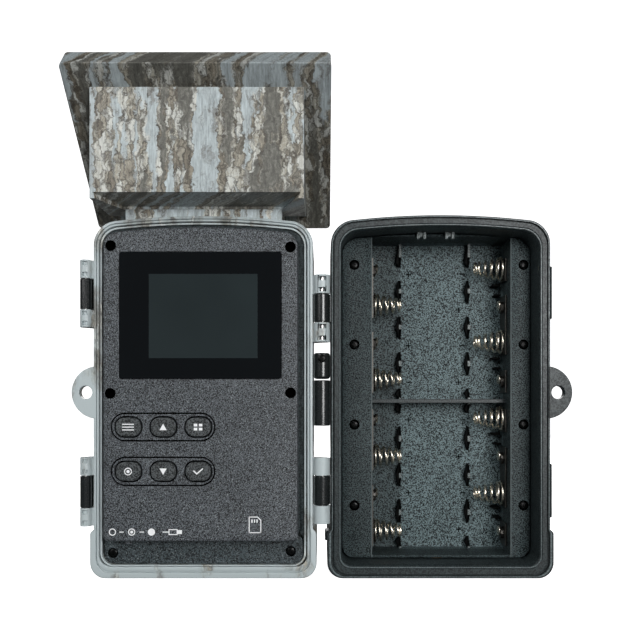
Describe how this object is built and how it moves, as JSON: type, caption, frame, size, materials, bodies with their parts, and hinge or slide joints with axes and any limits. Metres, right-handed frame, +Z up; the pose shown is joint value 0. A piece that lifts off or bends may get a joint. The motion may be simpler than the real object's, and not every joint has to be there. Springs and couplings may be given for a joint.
{
  "type": "trail camera",
  "caption": "Trail camera opened like a book, with a control panel, an AA battery case on a vertical hinge, two side latches and a tilted solar hood.",
  "frame": {"origin": "middle of the front housing's flat base, half way between its rim and its front face", "axes": "+X towards the battery case, +Y towards the lens side, +Z up"},
  "size_m": [0.1906, 0.0717, 0.1938],
  "materials": {
    "bark_camouflage": "satin plastic with a printed tree-bark pattern",
    "textured_black": "fine spark-eroded grain",
    "case_black": "satin moulded",
    "seal_rubber": "matt",
    "screen_gloss": "polished",
    "display_grey": "smooth",
    "circuit_board": "solder mask",
    "contact_steel": "nickel plated",
    "pin_steel": "drawn wire",
    "insert_brass": "turned",
    "sensor_white": "translucent white",
    "lens_glass": "coated glass",
    "solar_cells": "laminated",
    "cell_sleeve": "shrink sleeve"
  },
  "bodies": {
    "front_housing": {"cable_guide_upper": "case_black", "card_socket": "contact_steel", "charge_board": "circuit_board", "control_panel": "textured_black", "front_bezel": "case_black", "front_shell": "bark_camouflage", "hinge_pin_lower": "pin_steel", "hinge_pin_upper": "pin_steel", "hood_battery": "cell_sleeve", "hood_neck": "bark_camouflage", "hood_shell": "bark_camouflage", "image_sensor": "circuit_board", "ir_led_board": "circuit_board", "ir_window": "screen_gloss", "latch_pin_lower": "pin_steel", "latch_pin_upper": "pin_steel", "lcd_module": "display_grey", "lens_barrel": "case_black", "lens_glass": "lens_glass", "main_board": "circuit_board", "pir_lens": "sensor_white", "pir_sensor": "contact_steel", "power_switch_body": "contact_steel", "screen_window": "screen_gloss", "seal_gasket": "seal_rubber", "solar_frame": "bark_camouflage", "solar_panel": "solar_cells", "usb_socket": "contact_steel"},
    "battery_case": {"battery_case": "case_black", "battery_contact_left_1_2": "contact_steel", "battery_contact_left_3_4": "contact_steel", "battery_contact_left_5_6": "contact_steel", "battery_contact_left_7_8": "contact_steel", "battery_contact_right_1": "contact_steel", "battery_contact_right_2_3": "contact_steel", "battery_contact_right_4": "contact_steel", "battery_contact_right_5": "contact_steel", "battery_contact_right_6_7": "contact_steel", "battery_contact_right_8": "contact_steel", "battery_spring_1": "contact_steel", "battery_spring_2": "contact_steel", "battery_spring_3": "contact_steel", "battery_spring_4": "contact_steel", "battery_spring_5": "contact_steel", "battery_spring_6": "contact_steel", "battery_spring_7": "contact_steel", "battery_spring_8": "contact_steel", "battery_tray": "case_black", "cable_guide_lower": "case_black", "strap_bracket": "case_black", "tripod_insert": "insert_brass"},
    "button_down": {"button_down": "textured_black"},
    "button_menu": {"button_menu": "textured_black"},
    "button_mode": {"button_mode": "textured_black"},
    "button_ok": {"button_ok": "textured_black"},
    "button_shot": {"button_shot": "textured_black"},
    "button_up": {"button_up": "textured_black"},
    "latch_upper": {"latch_upper": "case_black"},
    "latch_lower": {"latch_lower": "case_black"},
    "power_switch_slider": {"power_switch_slider": "textured_black"}
  },
  "joints": [
    {"name": "case_hinge", "type": "hinge", "parent": "front_housing", "child": "battery_case", "pos_m": [0.0452, -0.023, 0.068], "axis": [0, 0, -1], "range_deg": [0, 180]},
    {"name": "latch_upper_hinge", "type": "hinge", "parent": "front_housing", "child": "latch_upper", "pos_m": [-0.0444, -0.023, 0.1082], "axis": [0, 0, 1], "range_deg": [0, 180]},
    {"name": "latch_lower_hinge", "type": "hinge", "parent": "front_housing", "child": "latch_lower", "pos_m": [-0.0444, -0.023, 0.0333], "axis": [0, 0, 1], "range_deg": [0, 180]},
    {"name": "button_menu_press", "type": "slide", "parent": "front_housing", "child": "button_menu", "axis": [0, 1, 0], "range_m": [0, 0.0006], "stiffness_N_per_m": 900},
    {"name": "button_up_press", "type": "slide", "parent": "front_housing", "child": "button_up", "axis": [0, 1, 0], "range_m": [0, 0.0006], "stiffness_N_per_m": 900},
    {"name": "button_mode_press", "type": "slide", "parent": "front_housing", "child": "button_mode", "axis": [0, 1, 0], "range_m": [0, 0.0006], "stiffness_N_per_m": 900},
    {"name": "button_shot_press", "type": "slide", "parent": "front_housing", "child": "button_shot", "axis": [0, 1, 0], "range_m": [0, 0.0006], "stiffness_N_per_m": 900},
    {"name": "button_down_press", "type": "slide", "parent": "front_housing", "child": "button_down", "axis": [0, 1, 0], "range_m": [0, 0.0006], "stiffness_N_per_m": 900},
    {"name": "button_ok_press", "type": "slide", "parent": "front_housing", "child": "button_ok", "axis": [0, 1, 0], "range_m": [0, 0.0006], "stiffness_N_per_m": 900},
    {"name": "power_switch_slide", "type": "slide", "parent": "front_housing", "child": "power_switch_slider", "axis": [1, 0, 0], "range_m": [0, 0.004]}
  ]
}
